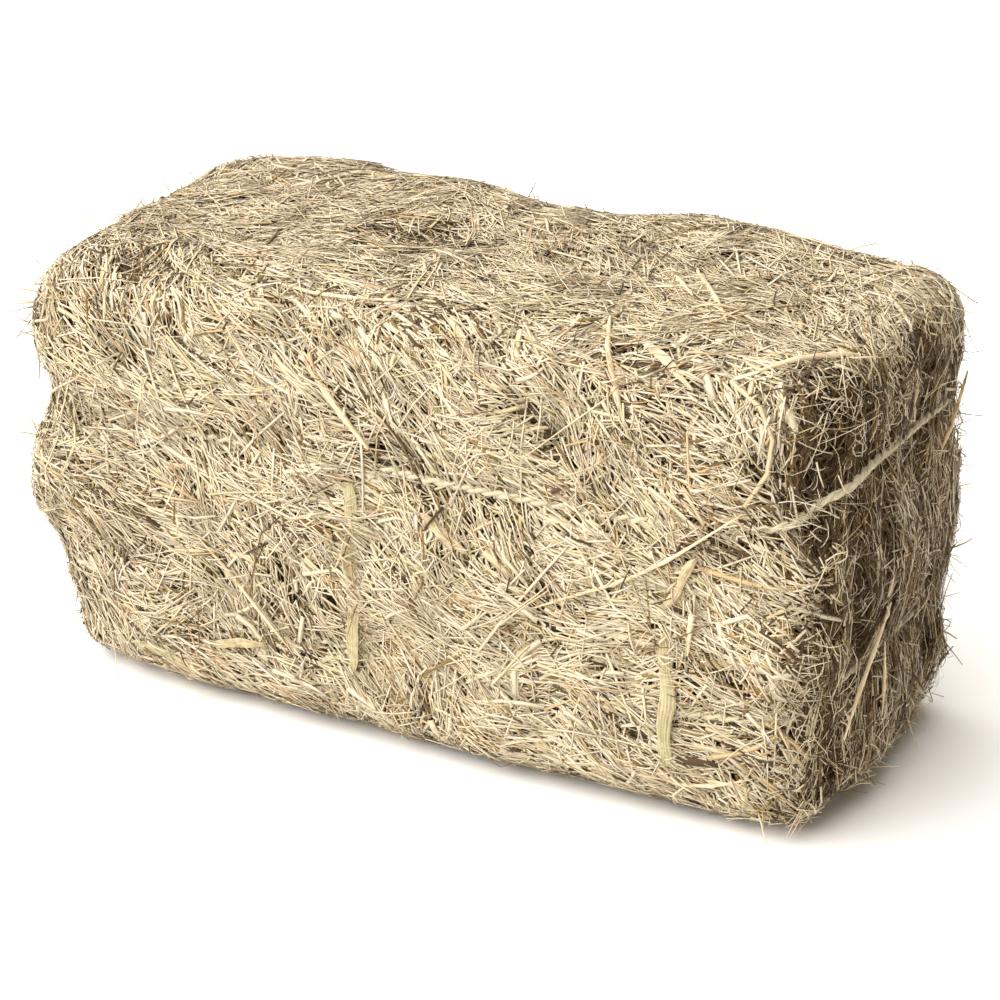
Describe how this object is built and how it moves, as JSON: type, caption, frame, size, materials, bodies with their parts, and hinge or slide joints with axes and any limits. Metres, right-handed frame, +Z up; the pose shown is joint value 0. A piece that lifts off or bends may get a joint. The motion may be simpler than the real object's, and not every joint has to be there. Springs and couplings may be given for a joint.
{
  "type": "square hay bale",
  "caption": "Rectangular bale of pressed dry hay standing on its narrow long side, held by loops of sisal twine, with loose stems and leaf blades lying on it.",
  "frame": {"origin": "middle of the bale's base, on the surface that it stands on, taken from the box round the whole bale", "axes": "+X along the bale to its right end, +Y towards its back, +Z up"},
  "size_m": [0.955, 0.4414, 0.5051],
  "materials": {
    "hay": "matte dry hay, pale straw with tan and greenish stalks",
    "twine": "matte two-ply sisal twine",
    "stem": "satin dry grass stem",
    "blade": "matte dry leaf blade"
  },
  "bodies": {
    "root": {"packed_hay": "hay", "twine_upper": "twine", "twine_lower": "twine", "blade_tall_left": "blade", "blade_tall_right": "blade", "stem_beside_tall_blade": "stem", "fan_leaf": "blade", "stem_thick_upper_left": "stem", "stem_thin_upper_left": "stem", "stem_wavy_top_edge": "stem", "stem_over_edge_right": "stem", "sheath_over_edge_right": "blade", "blade_pale_mid_edge": "blade", "blade_flat_middle": "blade", "stem_sweep_right": "stem", "blade_pale_right": "blade", "blade_white_right": "blade", "straw_folded": "stem", "stem_lower_left": "stem", "leaf_wide_foot_left": "blade", "leaf_brown_lower_left": "blade", "stem_top_near": "stem", "stem_top_right": "stem", "stem_top_edge_right": "stem", "leaf_curled_top_left": "blade", "stem_end_long": "stem", "stem_end_upright": "stem", "stem_end_dark": "stem"}
  },
  "joints": []
}
